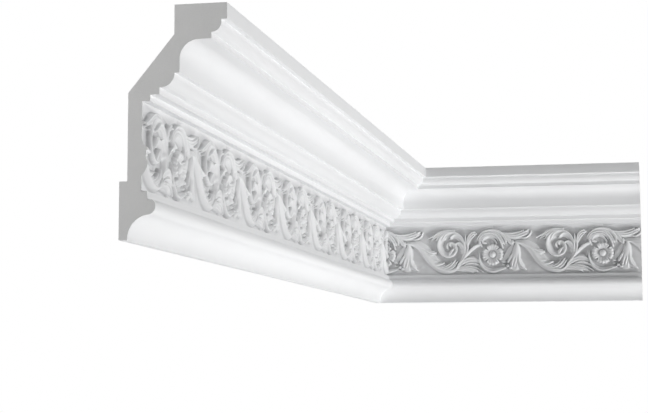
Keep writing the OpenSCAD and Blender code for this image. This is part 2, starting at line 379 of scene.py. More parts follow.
# Places along the run are measured from a flower's centre, and heights from the frieze's lower edge.
# Each form is its section, the path's control points, its half widths and its heights.
FORMS = {
    "trunk leaf": [
        (strap_left, [(-127, 44.6), (-114, 45.5), (-106, 44), (-98, 35), (-89.5, 23.5), (-82, 7.2), (-62, 6),
                      (-56, 5.6), (-51, 8), (-46, 13)], (1.6, 4, 7.5, 9.5, 10, 9.5, 7.6, 5.6, 3.6, 1.6),
         (3.6, 4, 4.6, 4.8, 5, 5, 5, 4.8, 4.6, 4.2)),
        (leaf, [(-104, 42), (-97, 36), (-91, 30), (-84, 31)], (2, 4.6, 5, 2.6), (2.6, 3.4, 3.6, 3.4)),
        (dome, [(-116, 45.2), (-104, 44), (-96, 32.6), (-81, 31.6)], (0.8, 1.8, 2, 1.9),
         (3.6, 4.6, 5, 5.6)),
        (dome, [(-106, 42), (-97, 36.5), (-91, 34), (-83, 33.8)], (0.9, 1.5, 1.4, 0.9),
         (3.4, 4.4, 4.6, 4.6)),
        (dome, [(-100, 38), (-93, 30.5), (-89, 28), (-84.5, 28.6)], (0.8, 1.4, 1.4, 0.9), (3, 4.2, 4.2, 4)),
        (leaf, [(-97, 30), (-91, 23), (-86, 19.5), (-79.5, 19.4)], (2, 3.4, 3.2, 1.4), (3, 3.8, 3.8, 3.6)),
        (dome, [(-98, 30), (-91, 22), (-87, 19.4), (-80, 19.6)], (1, 1.6, 1.7, 1.1), (3, 4.6, 4.8, 4.6)),
        (leaf, [(-92, 20), (-84, 13), (-77, 13.5), (-69, 17)], (2, 3.6, 3.6, 1.5), (3, 4, 4.2, 4)),
        (dome, [(-93, 21), (-85, 12.4), (-78, 13), (-68.8, 17.6)], (1, 1.6, 1.7, 1.1), (3, 4.8, 5, 5)),
        (dome, [(-88, 15), (-80, 9.6), (-74, 10.6), (-68, 14)], (0.8, 1.4, 1.4, 0.8), (3, 4.4, 4.6, 4)),
    ],
    "comb": [
        (leaf, [(-74, 7), (-62, 8), (-57, 11), (-52, 17)], (2, 4.6, 4.4, 2.4), (3, 3.8, 4, 3.8)),
        (dome, [(-80, 9), (-69, 10.6), (-63, 12.4), (-57.8, 17.8)], (0.8, 1.5, 1.5, 1.1), (3, 4.8, 5, 4.8)),
        (dome, [(-76, 7.6), (-63, 9.4), (-58, 12.4), (-52.6, 21)], (0.8, 1.6, 1.7, 1.4), (3, 5, 5.4, 5.4)),
        (dome, [(-68, 6.4), (-58, 8.2), (-53.4, 12), (-50, 19)], (0.8, 1.4, 1.5, 1.1), (3, 4.8, 5, 4.8)),
        (dome, [(-60, 5.8), (-54, 7), (-50, 9.6), (-48, 14.4)], (0.8, 1.3, 1.4, 1.5), (3, 4.4, 4.8, 5.4)),
    ],
    "crest": [
        (leaf, [(-56, 60.5), (-68, 62.5), (-76, 57.4), (-84, 53.4)], (2.4, 4.6, 4.8, 1.8), (3.4, 4, 4, 3)),
        (leaf, [(-60, 59), (-68, 59.5), (-73, 56), (-75.5, 51)], (2.4, 4, 4.6, 3.4), (3.4, 4, 4, 3.4)),
        (dome, [(-54, 63), (-72, 66.5), (-76, 57.5), (-91.8, 52)], (1, 1.6, 1.9, 0.6), (4, 4.8, 5, 4)),
        (dome, [(-58, 62), (-72, 64), (-75, 55), (-86, 51)], (0.8, 1.3, 1.4, 0.7), (4, 4.6, 4.8, 3.6)),
        (dome, [(-58, 61.4), (-71, 62.6), (-75.6, 57), (-79.4, 49.8)], (0.8, 1.4, 1.5, 0.9),
         (4, 5, 5, 4.8)),
        (dome, [(-57, 60.6), (-69, 61), (-72.8, 56), (-75, 48.8)], (0.8, 1.4, 1.4, 0.9), (4, 5, 5, 4.6)),
        (dome, [(-56, 59.6), (-66, 60), (-69.4, 55), (-71, 49.4)], (0.8, 1.4, 1.4, 0.9),
         (4, 4.8, 4.8, 4.4)),
    ],
    "curled lobes": [
        (rolled_left, [(-39.4, 38), (-40.4, 57), (-52, 63), (-59.4, 53)], (3, 6.5, 6.5, 3),
         (4.4, 5, 5.2, 5.2)),
        (dome, [(-41, 42), (-43, 51), (-47, 54.6), (-53, 54.4)], (1.2, 1.6, 1.5, 0.8), (3.4, 3.8, 3.6, 3)),
        (rolled_left, [(-39.4, 32), (-40, 42), (-46, 49.6), (-52, 44.4)], (2.4, 5, 5, 2.2),
         (4.2, 4.8, 5.2, 5.2)),
        (leaf, [(-58, 46.2), (-61, 45), (-61, 42.5), (-59, 40.6)], (1.4, 2.1, 2, 0.9), (4, 5, 5, 3.6)),
        (leaf, [(-61, 26.4), (-60, 31), (-58, 34.8), (-54.6, 37)], (2, 2.8, 2.1, 0.8), (3.8, 4.6, 5, 4.8)),
    ],
    "spray": [
        (leaf, [(-47.6, 15.6), (-38, 24), (-33.4, 33), (-36, 47)], (1.1, 2, 2.6, 2), (3.4, 3.6, 3.6, 3)),
        (dome, [(-48, 15.4), (-38, 24), (-33, 33), (-35.4, 46)], (1, 1.3, 1.4, 1.3), (4.4, 4.8, 4.8, 4.6)),
        (dome, [(-39.6, 26), (-37, 32), (-38.4, 40), (-38.4, 48)], (0.8, 1.2, 1.2, 0.9),
         (3.6, 4.2, 4.2, 4)),
        (dome, [(-35.8, 41), (-37.8, 48), (-38.6, 51), (-37.8, 56.8)], (1, 1.6, 1.6, 0.6),
         (3.8, 4.4, 4.6, 4.2)),
        (leaf, [(-35.4, 43), (-34.6, 52), (-30.6, 58), (-25, 59)], (1.6, 2.8, 3, 2.2), (3, 3.6, 3.8, 4)),
        (dome, [(-35.8, 43), (-36, 54), (-31, 61), (-24.6, 60.6)], (1, 1.3, 1.4, 1.2), (3.8, 4.6, 5, 5.2)),
        (dome, [(-34.8, 43), (-34, 52), (-29.6, 57.6), (-22.8, 58.4)], (0.9, 1.2, 1.3, 1.6),
         (3.8, 4.4, 4.8, 5.6)),
        (dome, [(-34.2, 42), (-32.4, 49), (-29, 53.6), (-24.4, 55.8)], (0.8, 1.1, 1.1, 0.7),
         (3.4, 4, 4, 3.4)),
        (leaf, [(-38, 24), (-33, 34), (-26, 39.6), (-17, 42.6)], (1, 2.2, 2.6, 1.8), (3, 3.6, 3.6, 3.4)),
        (dome, [(-39, 24), (-33.4, 35.4), (-26, 41), (-17.4, 43.6)], (0.8, 1.3, 1.3, 1.2),
         (3.6, 4.4, 4.6, 4.6)),
    ],
    "low leaves": [
        (leaf, [(-47, 13), (-38, 22), (-28, 24.6), (-17.4, 17)], (1.4, 4.6, 5, 1.6), (3, 3.4, 3.4, 2.6)),
        (dome, [(-46.6, 15), (-39, 24), (-28, 27.6), (-19.4, 20)], (0.8, 1.4, 1.5, 0.9),
         (3.8, 4.2, 4.2, 3)),
        (dome, [(-45, 14), (-37, 20.4), (-29, 22.4), (-20.6, 17)], (0.8, 1.4, 1.3, 0.8), (3.6, 4, 3.8, 3)),
        (rolled_right, [(-42, 12), (-33, 18.4), (-24, 18.6), (-15.6, 11.6)], (1.6, 4, 4, 1.8),
         (3.2, 4.2, 4.4, 3.4)),
        (leaf, [(-54, 7), (-43, 11), (-32, 9), (-22, 5.4)], (2, 4.6, 5, 1.6), (3.4, 3.6, 3.4, 2.6)),
        (dome, [(-52, 7), (-42, 8), (-34, 7.2), (-27, 2.4)], (1.1, 1.5, 1.4, 0.6), (4, 4.2, 4, 3)),
        (dome, [(-46, 10), (-37, 11), (-28.6, 10.4), (-21, 3.8)], (0.9, 1.5, 1.4, 0.6), (3.8, 4.4, 4.2, 3)),
        (dome, [(-40, 12), (-30, 13.4), (-22, 10.6), (-13.4, 3.8)], (0.9, 1.5, 1.4, 0.6),
         (3.4, 4.4, 4.2, 3)),
    ],
    "vine": [
        (dome, [(-18.4, 31.4), (-20.5, 15), (-12, 4.2), (0, 4.2), (6, 4.4), (12, 7.4), (18.4, 9)],
         (0.7, 1.6, 2, 2.2, 2.2, 2.1, 1.8, 1.7, 1.4), (3.4, 4.4, 4.8, 5, 5, 4.8, 4.6, 4.6, 5)),
        (leaf, [(-17.4, 30), (-19, 15), (-11, 6.6), (2, 6.2), (8, 6.4), (13, 8.6), (18, 10)],
         (0.6, 1.5, 2.2, 2.4, 2.4, 2, 1.4), (2, 2.4, 2.8, 2.8, 2.8, 2.6, 2.4)),
    ],
    "arch": [
        (rolled_right, [(-21.4, 50), (-16, 67), (15.6, 69.6), (20.2, 46)], (2, 7, 8, 3),
         (3.8, 4.8, 5.2, 5.2)),
        (leaf, [(-18, 47), (-13, 60), (8, 62), (15, 45)], (2, 5.4, 5.6, 2.6), (3, 3.6, 3.6, 3)),
        (dome, [(-19.4, 48), (-15.4, 63), (9, 65.4), (14.6, 38)], (0.9, 1.5, 1.7, 1.2), (3.8, 4.8, 5, 5)),
        (dome, [(-4, 61), (8, 60.4), (13.4, 54), (16.6, 43)], (0.9, 1.4, 1.4, 0.9), (3.4, 4.4, 4.4, 3.6)),
        (dome, [(-17, 47), (-13, 57.6), (1, 60), (8, 48)], (0.9, 1.4, 1.4, 0.8), (3.6, 4.4, 4.6, 4)),
        (rolled_right, [(-14.4, 45), (-13, 57), (1, 58.4), (6.4, 44.6)], (1.4, 3.4, 3.4, 1.8),
         (3.6, 4.4, 4.6, 4.6)),
        (leaf, [(-17.6, 47.6), (-18, 45.6), (-17.4, 43), (-15, 40.6)], (1.4, 2.2, 2, 1.2),
         (4, 4.8, 4.8, 4)),
        (leaf, [(-14.4, 48), (-14, 45.6), (-12, 44.6), (-9, 44.6)], (1.4, 1.9, 1.9, 1.4),
         (3.6, 4.4, 4.6, 4.6)),
    ],
    "right leaf": [
        (leaf, [(14, 57), (26, 53), (38, 54), (50, 58.4)], (2.4, 5, 5, 3), (3.2, 3.4, 3.6, 3.6)),
        (dome, [(6, 61.6), (19, 55.6), (33, 57), (44, 61.6)], (1.2, 1.5, 1.6, 1.4), (4, 4.6, 5, 5.2)),
        (dome, [(16, 56.4), (30, 53.2), (38, 55.4), (50.4, 61.8)], (1, 1.5, 1.5, 1.5), (3.8, 4.4, 5, 6)),
        (dome, [(20, 54), (32, 51), (40, 53), (48, 57.6)], (1, 1.6, 1.6, 1.3), (3.6, 4.2, 4.6, 4.8)),
        (dome, [(40, 51.4), (48, 50.2), (54, 54.4), (54.8, 60.8)], (0.8, 1.5, 1.5, 0.9),
         (3.6, 4.6, 5, 4.4)),
    ],
    "calyx": [
        (leaf, [(17, 56), (22, 51), (25, 46), (29, 42)], (2, 3.4, 3.2, 2), (3.4, 3.8, 3.8, 3.6)),
        (dome, [(20, 55), (24, 51), (26.4, 47), (29.6, 43)], (0.8, 1.2, 1.2, 0.9), (3.8, 4.6, 4.6, 4.2)),
        (dome, [(28.8, 47.4), (29, 45.6), (28.8, 44), (28.4, 41.8)], (1.2, 1.6, 1.6, 1.2),
         (4.6, 5.6, 5.6, 4.6)),
    ],
    "bell flower": [
        (dome, [(34.4, 42.4), (34.4, 34), (32.4, 26), (31.6, 13)], (2.8, 5.6, 7, 8, 8),
         (4.8, 5.4, 5.2, 4.2, 3.2)),
        (petal, [(29, 42), (25, 35), (21, 26), (14.4, 19.4)], (1.4, 3.4, 4, 2), (3, 3, 3, 2.6)),
        (leaf, [(36, 26), (37, 18), (39, 11), (46.6, 7)], (3, 4.6, 4.6, 1.2), (3.4, 3.4, 3, 2.8)),
        (dome, [(29.4, 30), (27.4, 26.6), (24.4, 22), (22, 17.4)], (1.2, 2.2, 2.5, 1.8),
         (3.8, 4.8, 5, 5.2)),
        (dome, [(31.2, 26.4), (30, 23), (28.4, 18), (27.5, 12.6)], (1.2, 2.1, 2.3, 1.7),
         (4.6, 5.1, 5.4, 5.4)),
        (dome, [(34.2, 25), (33.8, 22), (32.4, 17), (31.2, 11.4)], (1, 1.7, 1.8, 1.3), (4.6, 5.2, 5.2, 5)),
        (dome, [(37.4, 31), (37.8, 25), (34.6, 13), (46.8, 7.2)], (1.6, 2.6, 2.4, 0.9), (4.2, 4.9, 4.7, 4)),
        (dome, [(35, 19), (34.8, 14), (34.4, 11), (33.8, 8.6)], (1, 1.4, 1.5, 1.1), (3.4, 4, 4, 3.4)),
    ],
}

# The scroll's rim as turns from the level line through its eye, and distances from the eye
SCROLL_EYE = (-60.5, 39.5)
SCROLL_TURNS = (-0.05, 0.25, 0.5, 0.75, 1, 1.25, 1.5, 1.6)
SCROLL_REACH = (21.4, 22, 16.2, 13.6, 9.4, 6.6, 4.4, 3.4)
SCROLL_STEP = 0.011    # turn between the points of the rim
SCROLL_EVENED = 8      # points on either side that each distance is averaged with

# Berries beside the bell: place, radius and height
BERRIES = ((21.4, 11.8, 2.1, 5.4), (25.4, 9.2, 2, 5.2), (16.6, 18.4, 2.2, 4), (16.2, 13.4, 1.8, 3.2))

FLOWER = (0.4, 28.4)
FLOWER_R = 15.6
PETALS = 4
FLUTES = 20
SCALLOP = 0.6          # how far the edge draws in beside each flute
NOTCH = 2.2            # how far it draws in between two petals
MOAT_R = 5.2
MOAT_H = 1.5           # height where the petals start, at the moat
PETAL_RISE = 3.4
RISE_WIDTH = 6.5       # the width over which they rise from there
FLUTE_H = 1.3
BOSS_R = 4.9
BOSS_H = 6.1


def carve_scroll(carving):
    """A volute: a rim that winds in, each turn's sheet sinking to the next rim"""
    turns = np.arange(SCROLL_TURNS[0], SCROLL_TURNS[-1], SCROLL_STEP)
    reach = np.interp(turns, SCROLL_TURNS, SCROLL_REACH)
    averaged = 2 * SCROLL_EVENED + 1
    reach = np.convolve(np.pad(reach, SCROLL_EVENED, "edge"), np.full(averaged, 1 / averaged), "valid")
    path = np.stack([SCROLL_EYE[0] + reach * np.cos(2 * math.pi * turns),
                     SCROLL_EYE[1] + reach * np.sin(2 * math.pi * turns)], -1)
    stem = curve([(-48, 15.6), (-42, 21), (-38.2, 28), (-39, 33)])
    carving.stroke(np.concatenate([stem[:-1], path]), (1.4, 3, 6, 7.5, 7.6, 7.4, 6.6, 6, 5, 4, 3, 2.2),
                   (4, 4.8, 5, 5, 5, 5, 5, 4.8, 4.6, 4.6, 4.8, 5), rolled_left)


def carve_flower(carving):
    """Four fluted petals round a boss"""
    centre, reach = np.array(FLOWER), math.ceil(FLOWER_R) + 1
    cells, u, v = carving.window(centre - reach, centre + reach)
    x, y = u - FLOWER[0], v - FLOWER[1]
    r, angle = np.hypot(x, y), np.arctan2(y, x)
    parting = np.abs(angle % (2 * math.pi / PETALS) - math.pi / PETALS)
    flute = 0.5 + 0.5 * np.cos(FLUTES * angle)
    edge = FLOWER_R - SCALLOP * (1 - flute) - NOTCH * np.exp(-(parting / 0.16) ** 2)
    rise = np.clip((r - MOAT_R) / RISE_WIDTH, 0, 1)
    petals = MOAT_H + PETAL_RISE * rise ** 0.8 + FLUTE_H * (flute - 0.5) * rise
    petals = petals * np.clip((edge - r) / 2.4, 0, 1) ** 0.6
    # A groove parts the petals from 8 mm out, and is at its full depth 3 mm further
    petals *= 1 - 0.8 * np.exp(-(parting * r / 0.9) ** 2) * np.clip((r - 8) / 3, 0, 1)
    boss = BOSS_H * np.clip(1 - (r / BOSS_R) ** 2, 0, 1) ** 0.4
    carving.add(cells, np.maximum(np.where(r < edge, petals, 0), boss), 0)


def blurred(h, cells):
    """Heights softened over some cells, closing on itself along the run"""
    reach = math.ceil(SOFT_REACH * cells)
    kernel = np.exp(-0.5 * (np.arange(-reach, reach + 1) / cells) ** 2)
    kernel /= kernel.sum()
    wide = sum(k * np.roll(h, i - reach, 1) for i, k in enumerate(kernel))
    padded = np.pad(wide, ((reach, reach), (0, 0)), "edge")
    return sum(k * padded[i:i + h.shape[0]] for i, k in enumerate(kernel))


def carve_forms(carving, *groups):
    """Lays the named groups of forms on, one after the other"""
    for group in groups:
        for section, points, halves, crests in FORMS[group]:
            carving.stroke(curve(points), halves, crests, section)


def carve(s, f):
    """The whole repeat: its grid, its heights, and how hollow each place is from 0 to 1"""
    carving = Carving(f.repeat / MM, s.frieze_h / MM, f.pitch / MM)
    carve_forms(carving, "trunk leaf", "comb", "low leaves", "vine", "crest")
    carve_scroll(carving)
    carve_forms(carving, "curled lobes", "spray", "arch", "right leaf", "calyx", "bell flower")
    for u, v, radius, crest in BERRIES:
        carving.stroke([(u - 0.5, v), (u + 0.5, v)], (radius, radius), (crest, crest), dome, BERRY_FILLET)
    carve_flower(carving)
    cells = MM / f.pitch
    height = blurred(carving.h, SOFTENING / (f.pitch / MM))
    height *= f.relief / MM / height.max()
    # How hollow each place is, which sets how much shade is painted into the primer's colour there
    hollow = sum(weight * np.clip((blurred(height, spread * cells) - height) / depth, 0, 1)
                 for spread, depth, weight in PAINTED_SHADE_SCALES)
    return carving, height, np.clip(hollow, 0, 1)


# ---- meshes ----

def new_object(name, mesh):
    """An object at the origin, linked to the scene"""
    piece = bpy.data.objects.new(name, mesh)
    bpy.context.scene.collection.objects.link(piece)
    return piece


def modified(piece):
    """The object's mesh with its modifiers worked in"""
    bpy.context.view_layer.update()
    graph = bpy.context.evaluated_depsgraph_get()
    return bpy.data.meshes.new_from_object(piece.evaluated_get(graph), preserve_all_data_layers=True,
                                           depsgraph=graph)


def remove(*pieces):
    """Removes objects with their meshes"""
    for piece in pieces:
        mesh = piece.data
        bpy.data.objects.remove(piece)
        bpy.data.meshes.remove(mesh)


def thinned_relief(carving, height, s, f):
    """One repeat of the carved face as a light mesh, whose two ends keep every point so that repeats join"""
    step, low = s.frieze_step / MM, (s.ogee_h + s.low_fillet_h) / MM
    relief = np.concatenate([height, height[:, :1]], 1)
    relief = np.concatenate([relief[:1], relief, relief[-1:]], 0)
    heights = np.arange(carving.rows + 1) * carving.dv
    up = low + np.concatenate([[-TUCK / MM], heights, [heights[-1] + TUCK / MM]])
    along = np.arange(carving.columns + 1) * carving.du
    z, y = np.meshgrid(up, along, indexing="ij")
    places = np.stack([step + relief, y, z], -1).reshape(-1, 3) * MM
    rows, count = relief.shape
    index = np.arange(rows * count).reshape(rows, count)
    corners = np.stack([index[:-1, :-1], index[:-1, 1:], index[1:, 1:], index[1:, :-1]], -1).reshape(-1, 4)
    mesh = bpy.data.meshes.new("frieze_repeat")
    mesh.from_pydata(places.tolist(), [], corners.tolist())
    piece = new_object("frieze_repeat", mesh)
    loose = piece.vertex_groups.new(name="loose")
    loose.add(index[:, KEPT_COLUMNS:-KEPT_COLUMNS].ravel().tolist(), 1, "REPLACE")
    thin = piece.modifiers.new("thin", "DECIMATE")
    thin.ratio = f.faces / (2 * len(corners))
    thin.vertex_group = "loose"
    thin.vertex_group_factor = KEPT_WEIGHT
    result = modified(piece)
    remove(piece)
    return result


def closed_repeat(mesh, s, repeat):
    """Gives the carved face a back and sides, its end faces marked so that joined repeats can lose them"""
    shape = bmesh.new()
    shape.from_mesh(mesh)
    edges = [edge for edge in shape.edges if edge.is_boundary]
    grown = bmesh.ops.extrude_edge_only(shape, edges=edges)["geom"]
    for part in grown:
        if isinstance(part, bmesh.types.BMVert):
            part.co.x = s.frieze_step - BED - TUCK
    bmesh.ops.contextual_create(shape, geom=[edge for edge in shape.edges if edge.is_boundary])
    bmesh.ops.recalc_face_normals(shape, faces=shape.faces)
    marks = shape.faces.layers.float.new("end_face")
    for face in shape.faces:
        for end in (0, repeat):
            if all(abs(vertex.co.y - end) < WELD for vertex in face.verts):
                face[marks] = 1.0
    shape.to_mesh(mesh)
    shape.free()
    return mesh


def face_mesh(name, outline, place):
    """A mesh of one flat face"""
    mesh = bpy.data.meshes.new(name)
    mesh.from_pydata([place(*point) for point in outline], [], [list(range(len(outline)))])
    return mesh


class Tree:
    """A node tree: one method adds any node, settings first, then the values or links of its sockets"""

    def __init__(self, tree):
        self.tree = tree

    def node(self, kind, settings=None, **sockets):
        made = self.tree.nodes.new(kind)
        for key, value in (settings or {}).items():
            setattr(made, key, value)
        for key, value in sockets.items():
            self.feed(self.socket(made, key), value)
        return made

    @staticmethod
    def socket(made, key):
        """in_2 is the third input; any other word is a socket's name with _ for each space"""
        if key.startswith("in_"):
            return made.inputs[int(key[3:])]
        return made.inputs[key.replace("_", " ")]

    def feed(self, socket, value):
        """Links a socket or a list of them, or sets a plain value"""
        if isinstance(value, Value):
            value = value.socket
        if isinstance(value, bpy.types.NodeSocket):
            self.tree.links.new(value, socket)
        elif isinstance(value, list):
            for one in value:
                self.tree.links.new(one, socket)
        else:
            socket.default_value = value

    def out(self, made, output=0):
        return Value(self, made.outputs[output])

    def maths(self, operation, first, second):
        return self.out(self.node("ShaderNodeMath", {"operation": operation}, in_0=first, in_1=second))


class Value:
    """A number socket that Python's operators work on, each adding its Math node"""

    def __init__(self, tree, socket):
        self.tree, self.socket = tree, socket

    def __add__(self, other):
        return self.tree.maths("ADD", self, other)

    def __mul__(self, other):
        return self.tree.maths("MULTIPLY", self, other)

    def __sub__(self, other):
        return self.tree.maths("SUBTRACT", self, other)

    def __rsub__(self, other):
        return self.tree.maths("SUBTRACT", other, self)

    __radd__ = __add__
    __rmul__ = __mul__

    def clamped(self):
        return self.tree.maths("MINIMUM", self.tree.maths("MAXIMUM", self, 0.0), 1.0)


def run_tree():
    """Sweeps the section, lays the carved repeats in its bed and cuts the length to its ends"""
    group = bpy.data.node_groups.new("Moulding Run", "GeometryNodeTree")
    group.is_modifier = True
    for name, kind in (("Geometry", "Geometry"), ("Repeat Mesh", "Object"), ("End Cuts", "Object"),
                       ("Run", "Float"), ("Repeat", "Float"), ("First", "Float"), ("Count", "Int"),
                       ("Finish", "Material")):
        group.interface.new_socket(name, in_out="INPUT", socket_type="NodeSocket" + kind)
    group.interface.new_socket("Geometry", in_out="OUTPUT", socket_type="NodeSocketGeometry")
    t = Tree(group)
    given = t.node("NodeGroupInput").outputs
    repeat, first, run = (Value(t, given[name]) for name in ("Repeat", "First", "Run"))

    def along(value):
        return t.node("ShaderNodeCombineXYZ", Y=value).outputs[0]

    far_face = t.node("GeometryNodeFlipFaces", Mesh=given["Geometry"])
    grown = t.node("GeometryNodeExtrudeMesh", {"mode": "FACES"}, Mesh=far_face.outputs[0],
                   Offset=along(run), Offset_Scale=1.0, Individual=False)
    body = t.node("GeometryNodeJoinGeometry", Geometry=[grown.outputs[0], given["Geometry"]])
    body = t.node("GeometryNodeMergeByDistance", Geometry=body.outputs[0], Distance=WELD)

    points = t.node("GeometryNodeMeshLine", {"mode": "OFFSET"}, Count=given["Count"],
                    Start_Location=along(first), Offset=along(repeat))
    carved = t.node("GeometryNodeObjectInfo", Object=given["Repeat Mesh"])
    carved = t.node("GeometryNodeInstanceOnPoints", Points=points.outputs[0],
                    Instance=carved.outputs["Geometry"])
    carved = t.node("GeometryNodeRealizeInstances", Geometry=carved.outputs[0])
    carved = t.node("GeometryNodeMergeByDistance", Geometry=carved.outputs[0], Distance=WELD)

    # Joined repeats lose the end faces between them, and keep only those at the two ends of the row
    mark = t.node("GeometryNodeInputNamedAttribute", {"data_type": "FLOAT"}, Name="end_face")
    place = t.node("ShaderNodeSeparateXYZ", Vector=t.node("GeometryNodeInputPosition").outputs[0])
    middle = t.out(place, 1)
    past_first = t.maths("GREATER_THAN", middle, first + repeat * 0.5)
    count = Value(t, given["Count"])
    before_last = t.maths("LESS_THAN", middle, first + repeat * (count - 0.5))
    inner = t.out(mark) * past_first * before_last
    carved = t.node("GeometryNodeDeleteGeometry", {"domain": "FACE", "mode": "ALL"},
                    Geometry=carved.outputs[0], Selection=inner)

    whole = t.node("GeometryNodeMeshBoolean", {"operation": "UNION", "solver": "MANIFOLD"},
                   Mesh=[body.outputs[0], carved.outputs[0]])
    cuts = t.node("GeometryNodeObjectInfo", Object=given["End Cuts"])
    whole = t.node("GeometryNodeMeshBoolean", {"operation": "INTERSECT", "solver": "MANIFOLD"},
                   Mesh=[whole.outputs[0], cuts.outputs["Geometry"]])
    whole = t.node("GeometryNodeRealizeInstances", Geometry=whole.outputs[0])
    whole = t.node("GeometryNodeSetMaterial", Geometry=whole.outputs[0], Material=given["Finish"])
    t.node("NodeGroupOutput", Geometry=whole.outputs[0])
    return group


def prism(name, outline, low, high):
    """An upright block on a flat outline"""
    mesh = face_mesh(name, outline, lambda x, y: (x, y, low))
    shape = bmesh.new()
    shape.from_mesh(mesh)
    top = bmesh.ops.extrude_face_region(shape, geom=shape.faces[:])["geom"]
    for part in top:
        if isinstance(part, bmesh.types.BMVert):
            part.co.z = high
    bmesh.ops.recalc_face_normals(shape, faces=shape.faces)
    shape.to_mesh(mesh)
    shape.free()
    return new_object(name, mesh)


def built_length(node, cut, run, first_flower, ends, turn, frieze, finishes):
    """One length of the cornice, its ends cut and its carving set out from its first flower.
    Its mesh is worked out with the run along +Y and the wall at X 0, and then turned to its wall."""
    s, f = bpy.context.scene.cornice_section, bpy.context.scene.cornice_frieze
    repeat, carving, hollow = frieze
    primed, sawn = finishes
    cuts = prism("end_cuts", cut, -MARGIN, HEIGHT + MARGIN)
    outline = eased(section_outline(s, BED), s.edge)
    moulding = new_object("moulding", face_mesh("section", outline, lambda x, z: (x, -MARGIN, z)))
    first = first_flower - math.ceil((first_flower + MARGIN) / f.repeat) * f.repeat
    count = math.ceil((run + MARGIN - first) / f.repeat)

    sweep = moulding.modifiers.new("run", "NODES")
    sweep.node_group = bpy.data.node_groups.get("Moulding Run") or run_tree()
    given = {"Repeat Mesh": repeat, "End Cuts": cuts, "Run": run + 2 * MARGIN, "Repeat": f.repeat,
             "First": first, "Count": count, "Finish": primed}
    for item in sweep.node_group.interface.items_tree:
        if item.item_type == "SOCKET" and item.name in given:
            sweep[item.identifier] = given[item.name]
    mesh = modified(moulding)
    if len(mesh.polygons) < f.faces:
        raise RuntimeError(f"the carving of {node} was lost when it was joined to the run")
    mark_painted_shade(mesh, carving, hollow, first, s, f)
    mesh.materials.append(sawn)
    for face in mesh.polygons:
        for point, normal in ends:
            on_cut = abs((face.center - Vector(point)).dot(normal)) < WELD
            if on_cut and abs(face.normal.dot(normal)) > PARALLEL:
                face.material_index = 1
    crisp_edges(mesh, s)
    mesh.transform(turn)
    remove(moulding, cuts)
    return new_object("cornice_" + node, mesh)


def crisp_edges(mesh, s):
    """Smooth shading that breaks at the run's arrises but flows over the carving"""
    mesh.shade_smooth()
    shape = bmesh.new()
    shape.from_mesh(mesh)
    low = s.ogee_h + s.low_fillet_h
    for edge in shape.edges:
        carved = all(low + WELD < vertex.co.z < low + s.frieze_h - WELD for vertex in edge.verts)
        front = all(vertex.co.x > s.frieze_step - WELD for vertex in edge.verts)
        limit = CARVED_CREASE if carved and front else RUN_CREASE
        sawn = any(face.material_index for face in edge.link_faces)
        edge.smooth = edge.calc_face_angle(0) < limit and not sawn
    shape.to_mesh(mesh)
    shape.free()


def mark_painted_shade(mesh, carving, hollow, first, s, f):
    """Stores how deep in the carving each point lies, for the shade painted into the primer's colour"""
    count = len(mesh.vertices)
    places = np.empty(count * 3)
    mesh.vertices.foreach_get("co", places)
    x, y, z = places.reshape(-1, 3).T
    column = ((y - first) % f.repeat) / MM / carving.du
    row = (z - s.ogee_h - s.low_fillet_h) / MM / carving.dv
    on_face = (x > s.frieze_step - BED / 2) & (x < s.frieze_step + f.relief + BED)
    inside = (row >= 0) & (row <= carving.rows) & on_face
    low = np.clip(np.floor(row).astype(int), 0, carving.rows - 1)
    left = np.floor(column).astype(int) % carving.columns
    right = (left + 1) % carving.columns
    a, b = column - np.floor(column), np.clip(row - low, 0, 1)
    value = ((hollow[low, left] * (1 - a) + hollow[low, right] * a) * (1 - b)
             + (hollow[low + 1, left] * (1 - a) + hollow[low + 1, right] * a) * b)
    layer = mesh.attributes.new("hollow", "FLOAT", "POINT")
    layer.data.foreach_set("value", np.where(inside, value, 0).astype(np.float32))


# ---- finishes ----

def emptied_tree(owner):
    """The node tree of a material or a world, with nothing in it"""
    owner.use_nodes = True
    owner.node_tree.nodes.clear()
    return Tree(owner.node_tree)


def seen_rays(t):
    """1 on camera, glossy and transmission rays, and 0 on the rest"""
    path = t.node("ShaderNodeLightPath").outputs
    camera, glossy = Value(t, path["Is Camera Ray"]), Value(t, path["Is Glossy Ray"])
    return (camera + glossy + Value(t, path["Is Transmission Ray"])).clamped()


def primed_foam():
    """White factory primer on cast foam: a soft skin with a faint grain, with shade painted into its colour
    in the hollows
    """
    c = bpy.context.scene.cornice_finish
    material = bpy.data.materials.new("primed_foam")
    t = emptied_tree(material)
    place = t.node("ShaderNodeTexCoord").outputs["Object"]
    patch = t.out(t.node("ShaderNodeTexNoise", Vector=place, Scale=11.0, Detail=3.0))
    grain = t.out(t.node("ShaderNodeTexNoise", Vector=place, Scale=900.0, Detail=2.0))
    skin = t.out(t.node("ShaderNodeTexNoise", Vector=place, Scale=160.0, Detail=2.0))
    # Painted shade: the primer's colour turns to the darker hollows colour where the carving is deep, with a
    # little random mottle
    hollow = t.out(t.node("ShaderNodeAttribute", {"attribute_name": "hollow"}), 2)
    depth = (hollow + (patch - 0.5) * 0.12).clamped()
    tone = t.node("ShaderNodeMix", {"data_type": "RGBA"}, Factor=depth, in_6=(*c.primer, 1),
                  in_7=(*c.hollow, 1))
    bump = t.node("ShaderNodeBump", Height=grain * 0.6 + skin * 0.4, Strength=0.06, Distance=0.0005)
    surface = t.node("ShaderNodeBsdfPrincipled", Base_Color=tone.outputs[2], Roughness=patch * 0.16 + 0.44,
                     Normal=bump.outputs[0])
    t.node("ShaderNodeOutputMaterial", Surface=surface.outputs[0])
    return material


